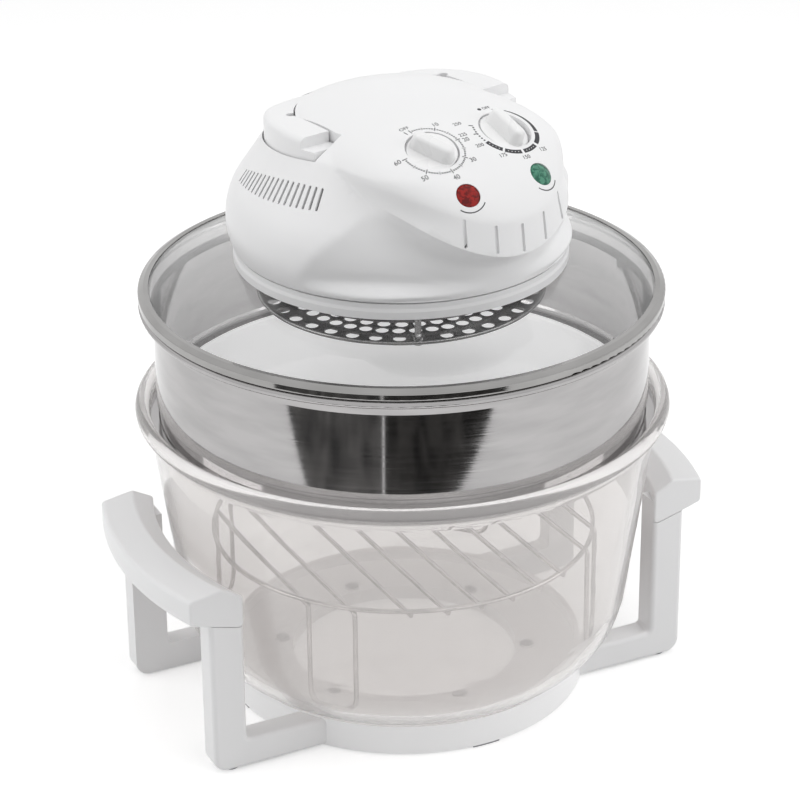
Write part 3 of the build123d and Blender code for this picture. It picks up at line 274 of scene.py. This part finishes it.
class Print:
    """Marks drawn in a plane of the panel and pressed onto the shell as thin closed slabs."""

    def __init__(self, name, plane, tree, ink, lift=0.0):
        self.name, self.plane, self.tree, self.ink, self.lift = name, plane, tree, ink, lift
        self.points, self.faces = [], []
        self.down = -(plane.to_3x3() @ Vector((0, 0, 1)))

    def dropped(self, u, v, height):
        """The plane's point (u, v) on the shell, raised by that height."""
        start = self.plane @ Vector((u, v, PROBE))
        spot = self.tree.ray_cast(start, self.down)[0]
        if spot is None:
            raise ValueError(f"{self.name}: no shell under ({u:.4f}, {v:.4f})")
        return spot - self.down * height

    def strip(self, left, right):
        """A band between two lines with as many points each."""
        first = len(self.points)
        for (lu, lv), (ru, rv) in zip(left, right):
            for u, v in ((lu, lv), (ru, rv)):
                for height in (INK_SINK, INK_RISE + self.lift):
                    self.points.append(self.dropped(u, v, height))
        for i in range(len(left) - 1):
            a, b = first + 4 * i, first + 4 * (i + 1)
            self.faces += [(a + 1, a + 3, b + 3, b + 1), (a, b, b + 2, a + 2),
                           (a, a + 1, b + 1, b), (a + 2, b + 2, b + 3, a + 3)]
        a, b = first, first + 4 * (len(left) - 1)
        self.faces += [(a, a + 2, a + 3, a + 1), (b, b + 1, b + 3, b + 2)]

    def arc(self, radii, start, end, step=4.0):
        """A band round the plane's centre, clockwise from start. radii(t) gives (inner, outer)."""
        count = max(1, math.ceil(abs(end - start) / step))
        inner, outer = [], []
        for i in range(count + 1):
            t = i / count
            turn = math.radians(start + (end - start) * t)
            low, high = radii(t)
            inner.append((low * math.cos(turn), low * math.sin(turn)))
            outer.append((high * math.cos(turn), high * math.sin(turn)))
        self.strip(inner, outer)

    def dot(self, radius, angle, size):
        """A round dot on a circle."""
        turn = math.radians(angle)
        u, v = radius * math.cos(turn), radius * math.sin(turn)
        rows = [math.pi * (i + 0.5) / DOT_ROWS for i in range(DOT_ROWS)]
        self.strip([(u + size * math.cos(a), v - size * math.sin(a)) for a in rows],
                   [(u + size * math.cos(a), v + size * math.sin(a)) for a in rows])

    def number(self, text, radius, angle, height):
        """Digits set upright in the plane, centred on a point of a circle."""
        curve = bpy.data.curves.new(f"{self.name}_{text}", "FONT")
        curve.body, curve.size = text, height * FONT_SIZE_PER_HEIGHT
        curve.align_x, curve.align_y = "CENTER", "CENTER"
        curve.resolution_u = 3
        curve.extrude = 1.0
        holder = bpy.data.objects.new(curve.name, curve)
        bpy.context.scene.collection.objects.link(holder)
        bpy.context.view_layer.update()
        mesh = bpy.data.meshes.new_from_object(holder)
        turn = math.radians(angle)
        u, v = radius * math.cos(turn), radius * math.sin(turn)
        first = len(self.points)
        for vertex in mesh.vertices:
            lift = INK_RISE if vertex.co.z > 0 else INK_SINK
            self.points.append(self.dropped(u + vertex.co.x, v + vertex.co.y, lift))
        self.faces += [tuple(first + i for i in face.vertices) for face in mesh.polygons]
        bpy.data.objects.remove(holder)
        bpy.data.meshes.remove(mesh)
        bpy.data.curves.remove(curve)

    def finish(self, body):
        mesh = bpy.data.meshes.new(self.name)
        mesh.from_pydata(self.points, [], self.faces)
        mesh.materials.append(self.ink)
        mesh.update()
        piece = bpy.data.objects.new(self.name, mesh)
        bpy.context.scene.collection.objects.link(piece)
        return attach(piece, body)


def around_scale(share, start, sweep):
    """Angle of a share of a scale that runs clockwise from start."""
    return start - sweep * share


def time_scale(tree):
    """Sixty minutes round the left knob: a dot a minute, a tick each five, a number each ten."""
    ring_r, number_r, digit_height = 0.0190, 0.0238, 0.0031
    start, sweep, minutes = 97.0, 278.0, 60
    marks = Print("time_scale", knob_plane(-1), tree, INK)
    for minute in range(minutes + 1):
        angle = around_scale(minute / minutes, start, sweep)
        if minute % 10 == 0:
            reach, half = 0.00165, 0.85
        elif minute % 5 == 0:
            reach, half = 0.00115, 0.65
        else:
            reach, half = 0.00052, 1.2
        marks.arc(lambda t: (ring_r - reach, ring_r + reach), angle + half, angle - half)
    marks.arc(lambda t: (ring_r - 0.0008, ring_r + 0.0022), start + 9.8, start + 8.2)
    marks.number("OFF", number_r - 0.0004, start + 2.0, 0.0026)
    for minute in range(10, minutes + 1, 10):
        aside = 5.0 if minute == 20 else 0.0   # clear of the heat scale's numbers
        angle = around_scale(minute / minutes, start, sweep) - aside
        marks.number(str(minute), number_r, angle, digit_height)
    return marks.finish("lid")


def temp_scale(tree):
    """Heat scale round the right knob: a wedge, four blocks and a dotted run, with numbers."""
    ring_r, off_r, full, digit_height = 0.0196, 0.0216, 0.0014, 0.0026
    thin, growth = 0.0001, full * 0.8          # half the wedge's width at its start, and what it gains
    marks = Print("temp_scale", knob_plane(1), tree, INK)
    marks.dot(off_r, 97.0, 0.0012)
    marks.arc(lambda t: (ring_r - thin - growth * t, ring_r + thin + growth * t), 77.0, -20.0)
    blocks = ((-23.0, -54.0), (-60.0, -91.0), (-96.0, -127.0), (-131.0, -161.0))
    for start, end in blocks:
        marks.arc(lambda t: (ring_r - full, ring_r + full), start, end)
    for step in range(7):
        marks.dot(ring_r, -166.0 - step * 6.0, 0.0006)
    for angle in (-185.0, -207.0):
        marks.arc(lambda t: (ring_r - 0.0002, ring_r + 0.0024), angle + 0.9, angle - 0.9)
    numbers = (("125", 0.0248, -57.0), ("150", 0.0240, -93.5), ("175", 0.0242, -129.0),
               ("200", 0.0254, -163.0), ("225", 0.0285, -188.0), ("250", 0.0285, -209.0))
    for text, radius, angle in numbers:
        marks.number(text, radius, angle, digit_height)
    marks.number("OFF", off_r, 83.5, 0.0024)
    marks.finish("lid")
    specks = Print("temp_scale_specks", knob_plane(1), tree, WHITE_INK, SPECK_LIFT)
    for start, end in blocks[1:]:
        for share in (0.2, 0.4, 0.6, 0.8):
            specks.dot(ring_r, start + (end - start) * share, 0.00032)
    return specks.finish("lid")


def lens_arcs(tree):
    """A fine line curved under each signal lens."""
    inner, outer, step = 0.0101, 0.0107, 5.0
    marks = []
    for side, name, start, end in ((-1, "power_arc", -43.0, -142.0), (1, "heat_arc", -30.0, -130.0)):
        arc = Print(name, lens_plane(side), tree, INK)
        arc.arc(lambda t: (inner, outer), start, end, step)
        marks.append(arc.finish("lid"))
    return marks


# ================================================================ stage, light and camera
FLOOR_R = 6.0
FLOOR_COLOUR, FLOOR_GLOW = 0.80, 0.42
SKY_FILL = 0.40                            # the world's strength for diffuse light
CARD_INNER, CARD_OUTER, CARD_Z = 0.50, 0.80, 0.002
LAMP_AIM, LAMP_DISTANCE = Vector((0.0, 0.0, 0.2)), 2.2
# Softboxes: azimuth from the camera's, elevation, edge length, power in watts.
LAMPS = {
    "top": (180.0, 84.0, 1.8, 10.5),
    "left_high": (-85.0, 55.0, 1.4, 8.0),
    "left_low": (-80.0, 18.0, 1.4, 10.0),
    "right_high": (80.0, 55.0, 1.4, 7.0),
    "right_front": (40.0, 42.0, 1.4, 5.0),
    "right_low": (80.0, 18.0, 1.4, 9.5),
}


def rays_that_see_white(tree):
    """1 for camera, glossy and transmission rays."""
    path = tree.nodes.new("ShaderNodeLightPath")
    seen = path.outputs["Is Camera Ray"]
    for ray in ("Is Glossy Ray", "Is Transmission Ray"):
        either = tree.nodes.new("ShaderNodeMath")
        either.operation = "MAXIMUM"
        tree.links.new(seen, either.inputs[0])
        tree.links.new(path.outputs[ray], either.inputs[1])
        seen = either.outputs["Value"]
    return seen


def white_world():
    """White to the eye, in gloss and through glass; a soft grey fill for the object."""
    world = bpy.data.worlds.new("studio")
    world.use_nodes = True
    bpy.context.scene.world = world
    tree = world.node_tree
    strength = tree.nodes.new("ShaderNodeMapRange")
    strength.inputs["To Min"].default_value = SKY_FILL
    strength.inputs["To Max"].default_value = 1.0
    tree.links.new(rays_that_see_white(tree), strength.inputs["Value"])
    background = tree.nodes["Background"]
    background.inputs["Color"].default_value = (1.0, 1.0, 1.0, 1.0)
    tree.links.new(strength.outputs["Result"], background.inputs["Strength"])


def disc_mesh(name, inner, outer, near, far, height, steps=48):
    """A flat sector round the Z axis, as wide as near at the inner radius and as far at the outer.

    Azimuth 0 points to -Y and grows clockwise from above.
    """
    points, faces = [], []
    for i in range(steps + 1):
        for radius, (start, end) in ((inner, near), (outer, far)):
            turn = math.radians(start + (end - start) * i / steps)
            points.append((radius * math.sin(turn), -radius * math.cos(turn), height))
    for i in range(steps):
        faces.append((2 * i, 2 * i + 1, 2 * i + 3, 2 * i + 2))
    mesh = bpy.data.meshes.new(name)
    mesh.from_pydata(points, [], faces)
    thing = bpy.data.objects.new(name, mesh)
    bpy.context.scene.collection.objects.link(thing)
    return thing


def pale_floor():
    """Plain pale floor that keeps the object's shadow."""
    floor = disc_mesh("floor", 0.0, FLOOR_R, (0.0, 360.0), (0.0, 360.0), 0.0, 96)
    material = bpy.data.materials.new("floor")
    material.use_nodes = True
    tree = material.node_tree
    shader = tree.nodes["Principled BSDF"]
    shader.inputs["Base Color"].default_value = (FLOOR_COLOUR, FLOOR_COLOUR, FLOOR_COLOUR, 1.0)
    shader.inputs["Roughness"].default_value = 1.0
    shader.inputs["Specular IOR Level"].default_value = 0.0
    shader.inputs["Emission Color"].default_value = (1.0, 1.0, 1.0, 1.0)
    glow = tree.nodes.new("ShaderNodeMath")
    glow.operation = "MULTIPLY"
    glow.inputs[1].default_value = FLOOR_GLOW
    tree.links.new(rays_that_see_white(tree), glow.inputs[0])
    tree.links.new(glow.outputs["Value"], shader.inputs["Emission Strength"])
    floor.data.materials.append(material)


def dark_cards():
    """Painted reflection: dark cards on the floor, standing in for a dark studio, that only glossy rays
    see, never the camera, diffuse light or shadow, so polished metal and glass reflect them dark. The left
    card is lighter than the right, and both are mottled.
    """
    cards = (("left", (-36.0, -8.0), (-54.0, -8.0), (0.06, 0.06, 0.06), (0.20, 0.195, 0.19)),
             ("right", (-7.2, 16.0), (-7.2, 46.0), (0.015, 0.015, 0.015), (0.09, 0.087, 0.083)))
    for side, near, far, dark, light in cards:
        finish = Finish(f"card_{side}", light, 1.0, Specular_IOR_Level=0.0)
        finish.tint(finish.noise(9.0, 4.0, (1.0, 1.0, 1.0), 1.5), dark, light)
        turn = CAMERA_AZIMUTH
        card = disc_mesh(f"card_{side}", CARD_INNER, CARD_OUTER, (turn + near[0], turn + near[1]),
                         (turn + far[0], turn + far[1]), CARD_Z)
        card.data.materials.append(finish.material)
        card.visible_camera = False
        card.visible_diffuse = False
        card.visible_transmission = False
        card.visible_volume_scatter = False
        card.visible_shadow = False


def soft_lamp(name, azimuth, elevation, size, power):
    """Square softbox that faces the object. Azimuth as for the camera."""
    data = bpy.data.lights.new(name, "AREA")
    data.shape, data.size, data.energy = "SQUARE", size, power
    lamp = bpy.data.objects.new(name, data)
    a, e = math.radians(azimuth), math.radians(elevation)
    back = Vector((math.sin(a) * math.cos(e), -math.cos(a) * math.cos(e), math.sin(e)))
    lamp.location = LAMP_AIM + back * LAMP_DISTANCE
    lamp.rotation_euler = back.to_track_quat("Z", "Y").to_euler()
    bpy.context.scene.collection.objects.link(lamp)
    lamp.visible_glossy = False
    return lamp


def camera():
    a, e = math.radians(CAMERA_AZIMUTH), math.radians(CAMERA_ELEVATION)
    ahead = Vector((-math.sin(a) * math.cos(e), math.cos(a) * math.cos(e), -math.sin(e)))
    level = Vector((math.cos(a), math.sin(a), 0.0))
    upright = level.cross(ahead)
    roll = math.radians(CAMERA_ROLL)
    right = level * math.cos(roll) + upright * math.sin(roll)
    up = right.cross(ahead)
    data = bpy.data.cameras.new("camera")
    data.sensor_width = SENSOR_WIDTH
    data.lens = FOCAL_PX / FRAME_WIDTH_PX * SENSOR_WIDTH
    view = bpy.data.objects.new("camera", data)
    view.matrix_world = Matrix.Translation(CAMERA_AT) @ Matrix((right, up, -ahead)).transposed().to_4x4()
    bpy.context.scene.collection.objects.link(view)
    bpy.context.scene.camera = view


# ================================================================ making
camera()
dress_frame()
shell = shell_tree()
time_scale(shell)
temp_scale(shell)
lens_arcs(shell)
white_world()
pale_floor()
dark_cards()
for lamp_name, (beside, lamp_elevation, edge, watts) in LAMPS.items():
    soft_lamp(lamp_name, CAMERA_AZIMUTH + beside, lamp_elevation, edge, watts)
bpy.context.scene.view_settings.view_transform = "Standard"
